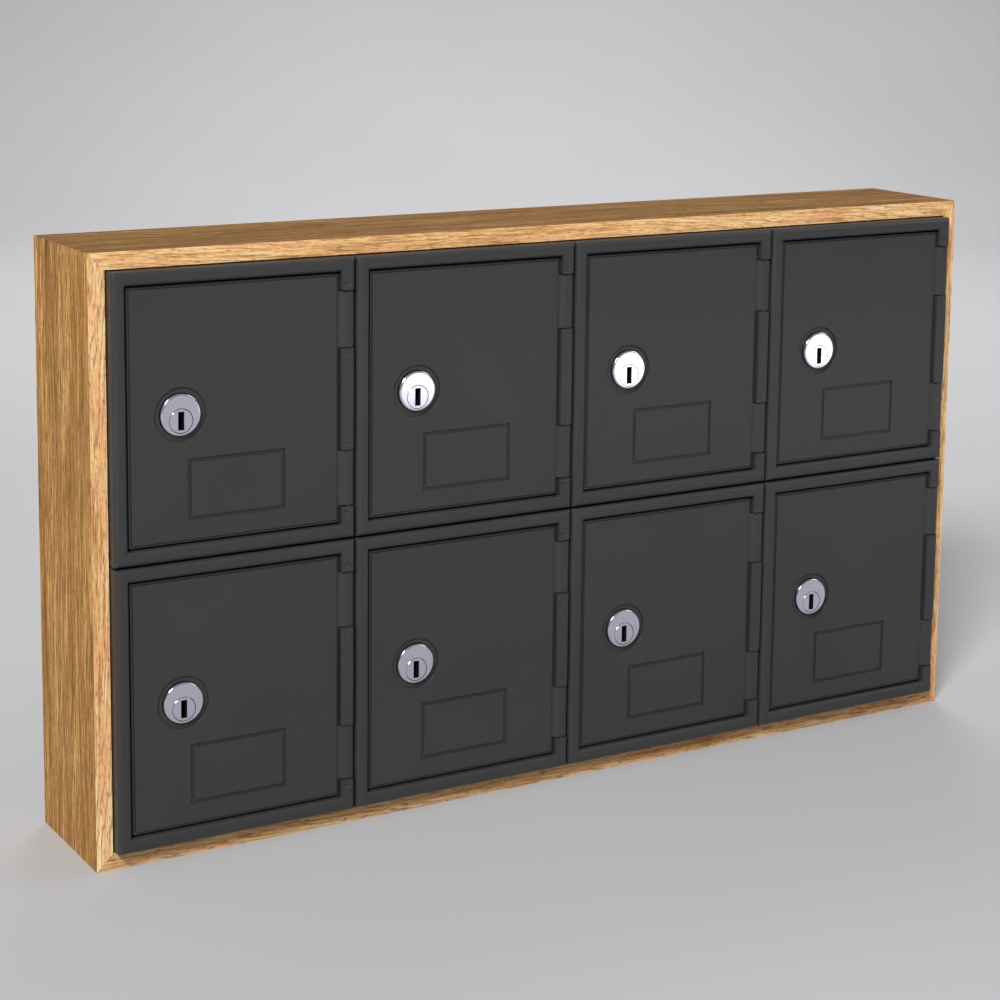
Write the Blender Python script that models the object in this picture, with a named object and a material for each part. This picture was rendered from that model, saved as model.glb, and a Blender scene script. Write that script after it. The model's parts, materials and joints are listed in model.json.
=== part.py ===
"""Coin operated locker: eight small lockers in a mitred wooden case.

Four columns by two rows of identical moulded modules fill the case. Each module is a bezel and tub in one
piece, with a door hinged on its right edge. A cam lock is mounted through each door. Metres, +Z up. The
fronts face -Y, and the origin is the middle of the object's base.
"""

import math

import bmesh
import bpy
from mathutils import Matrix, Vector

MM = 0.001

# Case
CASE_WIDTH = 569 * MM
CASE_HEIGHT = 325 * MM
BOARD_DEPTH = 80.5 * MM
BOARD_THICKNESS = 9 * MM
BACK_PANEL_THICKNESS = 6 * MM
BEZEL_PROUD = 8 * MM  # how far the bezels' crests stand in front of the boards
GAP = 0.3 * MM  # between neighbouring pieces that don't move against each other
MITRE_GAP = 0.21 * MM  # taken off each board along its length, so the joint is 0.3 mm wide

# Modules, in a frame of their own: x from the left edge, y behind the bezel's crest, z from the bottom edge
COLUMNS = 4
ROWS = 2
MODULE_DEPTH = 82 * MM
MODULE_WALL = 2 * MM
MODULE_CORNER = 2 * MM
EDGE_ROUNDING = 3 * MM  # outer front edge of the bezel
RIM_ROUNDING = 2 * MM  # inner front edge of the bezel, down to the door's level
RECESS_DEPTH = 6.8 * MM  # from the crest to the ledge that the door closes onto
LEDGE_WIDTH = 3 * MM
LEDGE_BACK = 10 * MM
INSET_LEFT = 7.6 * MM  # bezel widths, from the module's edge to the door recess
INSET_RIGHT = 8.4 * MM
INSET_TOP = 7.6 * MM
INSET_BOTTOM = 8.25 * MM

# Door
DOOR_GAP = 1.1 * MM
DOOR_FRONT = 2 * MM
DOOR_BACK = 6.5 * MM
DOOR_EDGE_STRIP = 1.4 * MM  # the narrow strip round the raised panel
DOOR_EDGE_STEP = 0.5 * MM
LABEL_WIDTH = 55 * MM
LABEL_HEIGHT = 32.7 * MM
LABEL_FROM_LEFT = 41.2 * MM
LABEL_FROM_TOP = 99.5 * MM
LABEL_GROOVE_WIDTH = 2 * MM
LABEL_GROOVE_DEPTH = 0.5 * MM

# Hinge
HINGE_FROM_RIGHT = 3.5 * MM
HINGE_DEPTH = 3.35 * MM
BARREL_RADIUS = 3.3 * MM
PIN_RADIUS = 1.2 * MM
PIN_CLEARANCE = 0.4 * MM
KNUCKLE_GAP = 0.8 * MM
KNUCKLE_ENDS = (18 * MM, 48.7 * MM, 104.1 * MM, 134.6 * MM)  # down from the module's top edge
KNUCKLE_WEB_BACK = 5.4 * MM
POCKET_DEPTH = 7.2 * MM
PIN_LENGTH = 140 * MM
PIN_FROM_BOTTOM = 1.2 * MM

# Cam lock, placed by the centre of its face
LOCK_FROM_LEFT = 37.3 * MM
LOCK_FROM_TOP = 76 * MM
LOCK_FACE_RADIUS = 11.1 * MM
LOCK_FACE_BEVEL = 0.8 * MM
LOCK_FRONT = 1 * MM
LOCK_FLANGE_BACK = 4 * MM
LOCK_BODY_RADIUS = 9.5 * MM
LOCK_BODY_BACK = 19.4 * MM
LOCK_RECESS_RADIUS = 14.4 * MM
LOCK_RECESS_DEPTH = 0.8 * MM
PLUG_OFFSET = 3.2 * MM  # the plug's axis below the face's centre
PLUG_HEAD_RADIUS = 6.35 * MM
PLUG_HEAD_BACK = 2.6 * MM
PLUG_SHANK_RADIUS = 5.3 * MM
PLUG_SHANK_BACK = 19.8 * MM
PLUG_TAIL_WIDTH = 7 * MM
PLUG_TAIL_BACK = 23 * MM
KEYWAY_WIDTH = 3.4 * MM
KEYWAY_HEIGHT = 9.7 * MM
KEYWAY_DEPTH = 9 * MM
CAM_FRONT = 20.2 * MM
CAM_THICKNESS = 2 * MM
CAM_REACH = 32.5 * MM
CAM_EYE_RADIUS = 8 * MM
CAM_TIP_RADIUS = 5 * MM
STRIKE_HEIGHT = 26 * MM
STRIKE_BACK = 19.8 * MM
FIT = 0.3 * MM  # clearance round the lock's pieces

# Fineness of the curves
CORNER_STEPS = 2
ROUNDING_STEPS = 3
ROUND_SIDES = 20
PLUG_SIDES = 16
BARREL_SIDES = 16
PIN_SIDES = 8
SMOOTH_BELOW = math.radians(35)

# Worked out from the above
OPENING_WIDTH = CASE_WIDTH - 2 * BOARD_THICKNESS
OPENING_HEIGHT = CASE_HEIGHT - 2 * BOARD_THICKNESS
MODULE_WIDTH = (OPENING_WIDTH - (COLUMNS + 1) * GAP) / COLUMNS
MODULE_HEIGHT = (OPENING_HEIGHT - (ROWS + 1) * GAP) / ROWS
TOTAL_DEPTH = BOARD_DEPTH + BEZEL_PROUD
CREST_Y = -TOTAL_DEPTH / 2
HINGE_X = MODULE_WIDTH - HINGE_FROM_RIGHT
LOCK_Z = MODULE_HEIGHT - LOCK_FROM_TOP
PLUG_Z = LOCK_Z - PLUG_OFFSET
HINGE_AXIS = Vector((HINGE_X, HINGE_DEPTH, 0))
PLUG_AXIS = Vector((LOCK_FROM_LEFT, 0, PLUG_Z))

# Colour, roughness and metallic value of each material
MATERIALS = {
    "oak": ((0.42, 0.24, 0.10), 0.55, 0.0),
    "hardboard": ((0.17, 0.10, 0.05), 0.8, 0.0),
    "dark_grey_enamel": ((0.05, 0.05, 0.055), 0.45, 0.0),
    "polished_chrome": ((0.62, 0.62, 0.68), 0.2, 1.0),
    "zinc_plate": ((0.45, 0.45, 0.44), 0.4, 1.0),
}


# ------------------------------------------------------------------ materials and scene
def clear_scene():
    for obj in list(bpy.data.objects):
        bpy.data.objects.remove(obj, do_unlink=True)


def material(kind, part):
    """A material of its own for one kind of part."""
    color, roughness, metallic = MATERIALS[kind]
    made = bpy.data.materials.new(f"{part}_{kind}")
    made.use_nodes = True
    made.diffuse_color = (*color, 1)
    shader = made.node_tree.nodes["Principled BSDF"]
    shader.inputs["Base Color"].default_value = (*color, 1)
    shader.inputs["Roughness"].default_value = roughness
    shader.inputs["Metallic"].default_value = metallic
    return made


def place(name, mesh, at=(0, 0, 0), parent=None):
    """An object called name with this mesh, or an empty without one."""
    obj = bpy.data.objects.new(name, mesh)
    bpy.context.scene.collection.objects.link(obj)
    obj.location = at
    obj.parent = parent
    return obj


# ------------------------------------------------------------------ outlines
def rectangle(left, right, bottom, top, y, radius=0.0):
    """Points of an upright rectangle at depth y, its corners rounded if radius is given."""
    steps = CORNER_STEPS if radius else 0
    corners = (
        (right - radius, top - radius),
        (left + radius, top - radius),
        (left + radius, bottom + radius),
        (right - radius, bottom + radius),
    )
    points = []
    for quarter, (x, z) in enumerate(corners):
        for step in range(steps + 1):
            angle = math.pi / 2 * (quarter + step / max(steps, 1))
            points.append((x + radius * math.cos(angle), y, z + radius * math.sin(angle)))
    return points


def circle(x, z, radius, y, sides):
    """Points of an upright circle at depth y."""
    angles = [2 * math.pi * i / sides for i in range(sides)]
    return [(x + radius * math.cos(a), y, z + radius * math.sin(a)) for a in angles]


def barrel_arc(start, end):
    """Points (x, depth) of the hinge barrel. Angle 0 is its right side and 90 degrees its front."""
    steps = max(2, round(BARREL_SIDES * abs(end - start) / 360))
    points = []
    for i in range(steps + 1):
        angle = math.radians(start + (end - start) * i / steps)
        x = HINGE_X + BARREL_RADIUS * math.cos(angle)
        points.append((x, HINGE_DEPTH - BARREL_RADIUS * math.sin(angle)))
    return points


# ------------------------------------------------------------------ solids
def finished(name, bm, smooth=True):
    """The bmesh as a mesh, its faces pointing out."""
    bmesh.ops.recalc_face_normals(bm, faces=bm.faces)
    mesh = bpy.data.meshes.new(name)
    bm.to_mesh(mesh)
    bm.free()
    if smooth:
        mesh.shade_smooth()
        mesh.set_sharp_from_angle(angle=SMOOTH_BELOW)
    return mesh


def skin(bm, rings):
    """Faces between rings of the same number of points, and the rings' vertices."""
    loops = [[bm.verts.new(point) for point in ring] for ring in rings]
    for near, far in zip(loops, loops[1:]):
        join(bm, near, far)
    return loops


def join(bm, near, far):
    for i in range(len(near)):
        j = (i + 1) % len(near)
        bm.faces.new((near[i], near[j], far[j], far[i]))


def loft(name, rings):
    """A body that runs through rings, closed flat at the first and last."""
    bm = bmesh.new()
    loops = skin(bm, rings)
    bm.faces.new(loops[0])
    bm.faces.new(loops[-1])
    return finished(name, bm)


def closed_loft(name, rings):
    """A body like a picture frame, whose last ring joins its first."""
    bm = bmesh.new()
    loops = skin(bm, rings)
    join(bm, loops[-1], loops[0])
    return finished(name, bm)


def block(name, low, high):
    """A rectangular block between two corners."""
    return loft(name, [rectangle(low[0], high[0], low[2], high[2], y) for y in (low[1], high[1])])


def upright_prism(name, outline, bottom, top):
    """An outline of (x, depth) points extruded between two heights."""
    return loft(name, [[(x, y, z) for x, y in outline] for z in (bottom, top)])


def upright_rod(name, x, y, radius, bottom, top, sides):
    angles = [2 * math.pi * i / sides for i in range(sides)]
    outline = [(x + radius * math.cos(a), y + radius * math.sin(a)) for a in angles]
    return upright_prism(name, outline, bottom, top)


def turned(name, x, z, profile, sides):
    """A body of revolution about an axis along Y, from (radius, depth) pairs."""
    return loft(name, [circle(x, z, radius, y, sides) for radius, y in profile])


def combined(name, base, *steps):
    """The mesh left when each (Boolean operation, mesh) has been applied to base in turn."""
    body = place(name, base)
    helpers = []
    for operation, mesh in steps:
        helper = place(f"{mesh.name}_cutter", mesh)
        helper.hide_render = True
        helper.display_type = "WIRE"
        modifier = body.modifiers.new(mesh.name, "BOOLEAN")
        modifier.operation = operation
        modifier.solver = "EXACT"
        modifier.object = helper
        helpers.append(helper)
    bpy.context.view_layer.update()
    graph = bpy.context.evaluated_depsgraph_get()
    mesh = bpy.data.meshes.new_from_object(body.evaluated_get(graph))
    mesh.name = name
    for obj in (body, *helpers):
        bpy.data.objects.remove(obj)
    mesh.shade_smooth()
    mesh.set_sharp_from_angle(angle=SMOOTH_BELOW)
    return mesh


def coloured(mesh, kind):
    mesh.materials.clear()
    mesh.materials.append(material(kind, mesh.name))
    return mesh


# ------------------------------------------------------------------ case
def mitred_board(name, corners):
    """A board from its front outline of (x, z) corners, running back to the rear of the case."""
    front = CREST_Y + BEZEL_PROUD
    rings = [[(x, y, z) for x, z in corners] for y in (front, front + BOARD_DEPTH)]
    mesh = loft(name, rings)
    place(name, coloured(mesh, "oak"))


def make_case():
    side = CASE_WIDTH / 2
    inner = side - BOARD_THICKNESS
    roof = CASE_HEIGHT - BOARD_THICKNESS
    floor = BOARD_THICKNESS
    for name, outer_z, inner_z in (("case_top", CASE_HEIGHT, roof), ("case_bottom", 0, floor)):
        outer_x = side - MITRE_GAP
        inner_x = inner - MITRE_GAP
        mitred_board(
            name,
            [(-outer_x, outer_z), (outer_x, outer_z), (inner_x, inner_z), (-inner_x, inner_z)],
        )
    for name, sign in (("case_left", -1), ("case_right", 1)):
        mitred_board(
            name,
            [
                (sign * side, MITRE_GAP),
                (sign * side, CASE_HEIGHT - MITRE_GAP),
                (sign * inner, roof - MITRE_GAP),
                (sign * inner, floor + MITRE_GAP),
            ],
        )
    back = CREST_Y + TOTAL_DEPTH
    low = (-inner + GAP, back - BACK_PANEL_THICKNESS, floor + GAP)
    high = (inner - GAP, back, roof - GAP)
    place("back_panel", coloured(block("back_panel", low, high), "hardboard"))


# ------------------------------------------------------------------ module body
def inset_ring(left, right, bottom, top, depth, radius):
    """A ring inside the module's front outline, by how far each side is inset."""
    return rectangle(left, MODULE_WIDTH - right, bottom, MODULE_HEIGHT - top, depth, radius)


def recess_ring(outward, depth, radius):
    """A ring that follows the door recess, moved outward from its edge."""
    return inset_ring(
        INSET_LEFT - outward,
        INSET_RIGHT - outward,
        INSET_BOTTOM - outward,
        INSET_TOP - outward,
        depth,
        radius,
    )


def shell_rings():
    """The bezel and tub, from the outside of its back, round the bezel, to the tub's floor."""
    tight = 0.4 * MM
    rings = [inset_ring(0, 0, 0, 0, MODULE_DEPTH, MODULE_CORNER)]
    for step in range(ROUNDING_STEPS + 1):
        angle = math.pi / 2 * step / ROUNDING_STEPS
        inset = EDGE_ROUNDING * (1 - math.cos(angle))
        depth = EDGE_ROUNDING * (1 - math.sin(angle))
        rings.append(inset_ring(inset, inset, inset, inset, depth, MODULE_CORNER))
    for step in range(ROUNDING_STEPS):
        angle = math.pi / 2 * step / (ROUNDING_STEPS - 1)
        outward = RIM_ROUNDING * (1 - math.sin(angle))
        depth = RIM_ROUNDING * (1 - math.cos(angle))
        rings.append(recess_ring(outward, depth, tight))
    rings.append(recess_ring(0, RECESS_DEPTH, tight))
    rings.append(recess_ring(-LEDGE_WIDTH, RECESS_DEPTH, tight))
    rings.append(recess_ring(-LEDGE_WIDTH, LEDGE_BACK, tight))
    inner = [MODULE_WALL] * 4
    rings.append(inset_ring(*inner, LEDGE_BACK, MODULE_CORNER))
    rings.append(inset_ring(*inner, MODULE_DEPTH - MODULE_WALL, MODULE_CORNER))
    return rings


def knuckle_spans():
    """Heights of the hinge pocket and of the frame's and door's knuckles: pocket, frame, [lower, upper]."""
    top, upper_end, lower_start, bottom = (MODULE_HEIGHT - end for end in KNUCKLE_ENDS)
    play = KNUCKLE_GAP / 2
    frame = (lower_start + play, upper_end - play)
    door = [(bottom + play, lower_start - play), (upper_end + play, top - play)]
    return (bottom - play, top + play), frame, door


def hinge_bore(name, bottom, top):
    return upright_rod(name, HINGE_X, HINGE_DEPTH, PIN_RADIUS + PIN_CLEARANCE, bottom, top, PIN_SIDES)


def module_body_mesh():
    pocket_span, frame_span, _ = knuckle_spans()
    recess_right = MODULE_WIDTH - INSET_RIGHT
    beyond = 1 * MM
    pocket = block(
        "hinge_pocket",
        (recess_right - DOOR_GAP / 2, -beyond, pocket_span[0]),
        (MODULE_WIDTH + beyond, POCKET_DEPTH, pocket_span[1]),
    )
    root = POCKET_DEPTH + GAP
    shoulder = recess_right + GAP
    back_right = (HINGE_X + BARREL_RADIUS, root)
    outline = [(shoulder, root), (shoulder, RIM_ROUNDING), *barrel_arc(135, 0), back_right]
    knuckle = upright_prism("frame_knuckle", outline, *frame_span)
    strike = block(
        "strike",
        (MODULE_WALL / 2, LEDGE_BACK - beyond, PLUG_Z - STRIKE_HEIGHT / 2),
        (INSET_LEFT + LEDGE_WIDTH, STRIKE_BACK, PLUG_Z + STRIKE_HEIGHT / 2),
    )
    bore = hinge_bore("pin_bore", -beyond, PIN_FROM_BOTTOM + PIN_LENGTH + PIN_CLEARANCE)
    return combined(
        "module_body",
        loft("module_shell", shell_rings()),
        ("DIFFERENCE", pocket),
        ("UNION", knuckle),
        ("UNION", strike),
        ("DIFFERENCE", bore),
    )


# ------------------------------------------------------------------ door
def door_plate():
    """The plate with its raised panel, in module coordinates."""

    def ring(inset, depth):
        return recess_ring(-DOOR_GAP - inset, depth, 0)

    strip = DOOR_FRONT + DOOR_EDGE_STEP
    rings = [
        ring(0, DOOR_BACK),
        ring(0, strip),
        ring(DOOR_EDGE_STRIP, strip),
        ring(DOOR_EDGE_STRIP + DOOR_EDGE_STEP / 2, DOOR_FRONT),
    ]
    return loft("door_plate", rings)


def label_cutter():
    """The shallow groove that frames the place for a label."""
    left = LABEL_FROM_LEFT
    right = left + LABEL_WIDTH
    top = MODULE_HEIGHT - LABEL_FROM_TOP
    bottom = top - LABEL_HEIGHT
    front = DOOR_FRONT / 2
    floor = DOOR_FRONT + LABEL_GROOVE_DEPTH
    rings = []
    for inset, depth in ((0, front), (0, floor), (LABEL_GROOVE_WIDTH, floor), (LABEL_GROOVE_WIDTH, front)):
        rings.append(rectangle(left + inset, right - inset, bottom + inset, top - inset, depth))
    return closed_loft("label_groove", rings)


def lock_hole_cutter():
    """The shallow ring round the lock, the seat for its flange and the hole for its body."""
    seat = LOCK_FACE_RADIUS + FIT
    hole = LOCK_BODY_RADIUS + FIT
    ring_floor = DOOR_FRONT + LOCK_RECESS_DEPTH
    seat_floor = LOCK_FLANGE_BACK + FIT
    profile = [
        (LOCK_RECESS_RADIUS, 0),
        (LOCK_RECESS_RADIUS, ring_floor),
        (seat, ring_floor),
        (seat, seat_floor),
        (hole, seat_floor),
        (hole, DOOR_BACK + 1 * MM),
    ]
    return turned("lock_hole", LOCK_FROM_LEFT, LOCK_Z, profile, ROUND_SIDES)


def door_mesh():
    _, _, spans = knuckle_spans()
    web_front = DOOR_FRONT + DOOR_EDGE_STEP
    edge = MODULE_WIDTH - INSET_RIGHT - DOOR_GAP
    start = 180 - math.degrees(math.asin((HINGE_DEPTH - web_front) / BARREL_RADIUS))
    end = -180 + math.degrees(math.asin((KNUCKLE_WEB_BACK - HINGE_DEPTH) / BARREL_RADIUS))
    inside = edge - DOOR_EDGE_STRIP / 2
    outline = [(inside, KNUCKLE_WEB_BACK), (inside, web_front), *barrel_arc(start, end)]
    steps = [("DIFFERENCE", label_cutter()), ("DIFFERENCE", lock_hole_cutter())]
    for i, (bottom, top) in enumerate(spans):
        steps.append(("UNION", upright_prism(f"door_knuckle_{i}", outline, bottom, top)))
    steps.append(("DIFFERENCE", hinge_bore("knuckle_bore", 0, MODULE_HEIGHT)))
    mesh = combined("door", door_plate(), *steps)
    mesh.transform(Matrix.Translation(-HINGE_AXIS))
    return mesh


def hinge_pin_mesh():
    top = PIN_FROM_BOTTOM + PIN_LENGTH
    return upright_rod("hinge_pin", 0, 0, PIN_RADIUS, PIN_FROM_BOTTOM, top, PIN_SIDES)


# ------------------------------------------------------------------ lock
def lock_body_mesh():
    body = turned(
        "lock_shell",
        LOCK_FROM_LEFT,
        LOCK_Z,
        [
            (LOCK_BODY_RADIUS, LOCK_BODY_BACK),
            (LOCK_BODY_RADIUS, LOCK_FLANGE_BACK),
            (LOCK_FACE_RADIUS, LOCK_FLANGE_BACK),
            (LOCK_FACE_RADIUS, LOCK_FRONT + LOCK_FACE_BEVEL),
            (LOCK_FACE_RADIUS - LOCK_FACE_BEVEL, LOCK_FRONT),
        ],
        ROUND_SIDES,
    )
    bore = turned(
        "plug_bore",
        LOCK_FROM_LEFT,
        PLUG_Z,
        [
            (PLUG_HEAD_RADIUS + FIT, 0),
            (PLUG_HEAD_RADIUS + FIT, PLUG_HEAD_BACK + FIT),
            (PLUG_SHANK_RADIUS + FIT, PLUG_HEAD_BACK + FIT),
            (PLUG_SHANK_RADIUS + FIT, LOCK_BODY_BACK + 1 * MM),
        ],
        PLUG_SIDES,
    )
    mesh = combined("lock_body", body, ("DIFFERENCE", bore))
    mesh.transform(Matrix.Translation(-PLUG_AXIS))
    return mesh


def lock_plug_mesh():
    """The plug about its own axis, with its keyway and the square tail that carries the cam."""
    plug = turned(
        "plug_shaft",
        0,
        0,
        [
            (PLUG_HEAD_RADIUS, LOCK_FRONT),
            (PLUG_HEAD_RADIUS, PLUG_HEAD_BACK),
            (PLUG_SHANK_RADIUS, PLUG_HEAD_BACK),
            (PLUG_SHANK_RADIUS, PLUG_SHANK_BACK),
        ],
        PLUG_SIDES,
    )
    half = PLUG_TAIL_WIDTH / 2
    tail = block("plug_tail", (-half, PLUG_SHANK_BACK - 1 * MM, -half), (half, PLUG_TAIL_BACK, half))
    wide, tall = KEYWAY_WIDTH / 2, KEYWAY_HEIGHT / 2
    keyway = block("keyway", (-wide, 0, -tall), (wide, LOCK_FRONT + KEYWAY_DEPTH, tall))
    return combined("lock_plug", plug, ("UNION", tail), ("DIFFERENCE", keyway))


def lock_cam_mesh():
    """The cam hanging from its eye, a flat bar that narrows to a round tip."""
    tip_z = CAM_TIP_RADIUS - CAM_REACH
    lean = math.asin((CAM_EYE_RADIUS - CAM_TIP_RADIUS) / -tip_z)
    steps = 8
    outline = []
    for i in range(steps + 1):
        angle = -lean + (math.pi + 2 * lean) * i / steps
        outline.append((CAM_EYE_RADIUS * math.cos(angle), CAM_EYE_RADIUS * math.sin(angle)))
    for i in range(steps + 1):
        angle = math.pi + lean + (math.pi - 2 * lean) * i / steps
        outline.append((CAM_TIP_RADIUS * math.cos(angle), tip_z + CAM_TIP_RADIUS * math.sin(angle)))
    back = CAM_FRONT + CAM_THICKNESS
    plate = loft("cam_plate", [[(x, y, z) for x, z in outline] for y in (CAM_FRONT, back)])
    half = PLUG_TAIL_WIDTH / 2 + FIT
    eye = block("cam_eye", (-half, CAM_FRONT - 1 * MM, -half), (half, back + 1 * MM, half))
    return combined("lock_cam", plate, ("DIFFERENCE", eye))


# ------------------------------------------------------------------ assembly
def make_modules():
    """Eight copies of the module, numbered from the top left, row by row."""
    body = coloured(module_body_mesh(), "dark_grey_enamel")
    door = coloured(door_mesh(), "dark_grey_enamel")
    pin = coloured(hinge_pin_mesh(), "zinc_plate")
    lock_body = coloured(lock_body_mesh(), "polished_chrome")
    plug = coloured(lock_plug_mesh(), "polished_chrome")
    cam = coloured(lock_cam_mesh(), "zinc_plate")
    for row in range(ROWS):
        for column in range(COLUMNS):
            number = row * COLUMNS + column + 1
            x = -OPENING_WIDTH / 2 + GAP + column * (MODULE_WIDTH + GAP)
            z = BOARD_THICKNESS + GAP + (ROWS - 1 - row) * (MODULE_HEIGHT + GAP)
            corner = place(f"module_{number}", None, (x, CREST_Y, z))
            place(f"module_body_{number}", body, parent=corner)
            place(f"hinge_pin_{number}", pin, HINGE_AXIS, corner)
            hung = place(f"door_{number}", door, HINGE_AXIS, corner)
            place(f"lock_body_{number}", lock_body, PLUG_AXIS - HINGE_AXIS, hung)
            turning = place(f"lock_plug_{number}", plug, PLUG_AXIS - HINGE_AXIS, hung)
            place(f"lock_cam_{number}", cam, parent=turning)


clear_scene()
make_case()
make_modules()
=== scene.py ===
"""The looks of the coin operated locker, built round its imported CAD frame.

Metres, +Z up, and the fronts face -Y. The eight lockers share their meshes, which are made once in
a module's own frame and then placed at each module's corner.
"""

import json
import math

import bmesh
import bpy
from mathutils import Matrix, Vector


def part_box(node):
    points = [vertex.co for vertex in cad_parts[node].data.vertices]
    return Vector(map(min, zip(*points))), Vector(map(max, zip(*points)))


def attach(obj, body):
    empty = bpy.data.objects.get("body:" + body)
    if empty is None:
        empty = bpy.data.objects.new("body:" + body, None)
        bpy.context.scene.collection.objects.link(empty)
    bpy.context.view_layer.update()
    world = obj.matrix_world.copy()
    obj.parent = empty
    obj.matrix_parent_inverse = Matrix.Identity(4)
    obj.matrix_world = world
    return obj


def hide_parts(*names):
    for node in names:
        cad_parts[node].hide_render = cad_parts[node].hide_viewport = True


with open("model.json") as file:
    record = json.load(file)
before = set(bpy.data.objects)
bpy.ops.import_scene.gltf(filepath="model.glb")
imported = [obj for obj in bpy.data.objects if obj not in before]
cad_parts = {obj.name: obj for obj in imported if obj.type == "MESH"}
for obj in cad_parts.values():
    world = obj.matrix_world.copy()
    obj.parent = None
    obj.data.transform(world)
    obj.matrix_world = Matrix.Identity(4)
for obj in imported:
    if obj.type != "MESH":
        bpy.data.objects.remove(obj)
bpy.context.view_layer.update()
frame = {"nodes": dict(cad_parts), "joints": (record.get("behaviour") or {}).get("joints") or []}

MM = 0.001
BEYOND = 1 * MM  # how far a cutting body runs past what it cuts
FIT = 0.3 * MM  # clearance between two pieces, or two parts of one
LOCKERS = range(1, 9)
JOINTS = {joint["name"]: joint for joint in frame["joints"]}

# Places in a module's own frame: x from its left edge, y behind the bezel's crest,
# and z from its bottom edge
MODULE_CORNER, MODULE_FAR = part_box("module_body_1")
MODULE_SIZE = MODULE_FAR - MODULE_CORNER
HINGE = Vector(JOINTS["door_hinge_1"]["pos_m"]) - MODULE_CORNER
PLUG = Vector(JOINTS["lock_turn_1"]["pos_m"]) - MODULE_CORNER
DOOR_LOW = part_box("door_1")[0] - MODULE_CORNER
DOOR_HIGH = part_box("door_1")[1] - MODULE_CORNER
LOCK_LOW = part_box("lock_body_1")[0] - MODULE_CORNER
LOCK_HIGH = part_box("lock_body_1")[1] - MODULE_CORNER
CAM_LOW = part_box("lock_cam_1")[0] - MODULE_CORNER
CAM_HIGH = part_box("lock_cam_1")[1] - MODULE_CORNER
TAIL_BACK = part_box("lock_plug_1")[1].y - MODULE_CORNER.y
PIN_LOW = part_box("hinge_pin_1")[0] - MODULE_CORNER
PIN_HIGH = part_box("hinge_pin_1")[1] - MODULE_CORNER

# Bezel and tub
DOOR_GAP = 1.1 * MM
EDGE_ROUNDING = 3 * MM
RIM_ROUNDING = 2 * MM
RIM_SHARE_RIGHT = 0.15  # the rim's rounding is narrower on the hinge side
RIM_SHIFT_RIGHT = 0.25 * MM  # and the rim stands a little nearer to the door there
CREST_CORNER = 0.3 * MM
RIM_CORNER = 0.5 * MM
TUB_CORNER = 2 * MM
TUB_BACK_EDGE = 0.5 * MM
TUB_FILLET = 3 * MM
SIDE_EASE = 0.35 * MM  # taken off the bezel's sides, so that neighbours meet in a deep groove
SIDE_EASE_BACK = 20 * MM
SIDE_EASE_RUNOUT = 4 * MM
RECESS_DEPTH = 6.8 * MM
LEDGE_WIDTH = 3 * MM
LEDGE_CHAMFER = 0.4 * MM
LEDGE_BACK = 10 * MM
WALL = 2 * MM
INSET_RIGHT = 8.4 * MM
RECESS_LEFT = DOOR_LOW.x - DOOR_GAP
RECESS_RIGHT = MODULE_SIZE.x - INSET_RIGHT
RECESS_BOTTOM = DOOR_LOW.z - DOOR_GAP
RECESS_TOP = DOOR_HIGH.z + DOOR_GAP
POCKET_DEPTH = 7.2 * MM
STRIKE_HEIGHT = 26 * MM
STRIKE_BACK = 19.8 * MM
STRIKE_BEVEL = 0.6 * MM
DIMPLE = Vector((1.9, 0.55, 1.25)) * MM  # half the size of the marks near the knuckle's ends
DIMPLE_FROM_END = 3.2 * MM
DIMPLE_FROM_RECESS = 2.3 * MM

# Hinge
BARREL_RADIUS = 3.3 * MM
PIN_RADIUS = 1.2 * MM
BORE_RADIUS = 1.4 * MM
KNUCKLE_GAP = 0.8 * MM  # at the surface, where the knuckles' ends are bevelled
KNUCKLE_BEVEL = 0.12 * MM
KNUCKLE_ENDS = (18 * MM, 48.7 * MM, 104.1 * MM, 134.6 * MM)  # down from the module's top edge
KNUCKLE_WEB_BACK = 5.4 * MM

# Door
DOOR_FRONT = 2 * MM
DOOR_BACK = 6.5 * MM
EDGE_STRIP = 1.4 * MM
EDGE_STEP = 0.8 * MM
EDGE_GROOVE = 0.3 * MM  # width and depth of the groove at the foot of the raised panel
EDGE_SOFTNESS = 0.35 * MM
KNUCKLE_CREST = 1.15 * MM  # how far behind the bezel's crest the door's knuckles stand
LABEL_LEFT = 41.2 * MM
LABEL_DOWN = 99.5 * MM
LABEL_SIZE = (55 * MM, 32.7 * MM)
GROOVE_WIDTH = 2 * MM
GROOVE_DEPTH = 1.0 * MM
GROOVE_LIP = 0.05 * MM

# Lock
FACE_RADIUS = (LOCK_HIGH.x - LOCK_LOW.x) / 2
FACE_X = (LOCK_HIGH.x + LOCK_LOW.x) / 2
FACE_Z = (LOCK_HIGH.z + LOCK_LOW.z) / 2
FACE_BEVEL = 1.1 * MM
FLANGE_BACK = 4 * MM
BODY_RADIUS = 9.5 * MM
RING_RADIUS = 14.4 * MM
RING_DEPTH = 1.3 * MM
RING_LIP = 0.07 * MM
PLUG_PLAY = 0.26 * MM  # round the plug's head, where it shows as a circle in the lock's face
THREAD_PITCH = 1 * MM
THREAD_DEPTH = 0.45 * MM
PLUG_RADIUS = 6.35 * MM
PLUG_HEAD_BACK = 2.6 * MM
PLUG_SHANK_RADIUS = 5.3 * MM
PLUG_SHANK_BACK = 19.8 * MM
KEYWAY = (3.4 * MM, 9.7 * MM, 9 * MM)  # width, height and depth
CAM_EYE_RADIUS = 8 * MM
CAM_TIP_RADIUS = 5 * MM
TAIL_WIDTH = 7 * MM
NUT_ACROSS_FLATS = 23 * MM
NUT_THICKNESS = 3 * MM
SCREW_RADIUS = 3.6 * MM
SCREW_HEIGHT = 2 * MM

# Case
MITRE_CLOSE = 0.4 * MM  # added to each board's length, so that the mitres close
BOARD_BEVEL = 0.6 * MM
EDGE_PAINTED_SHADOW = {"case_bottom": 0.75}  # the bottom board's front edge is darkened: painted shadow of the proud bezels above it
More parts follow.
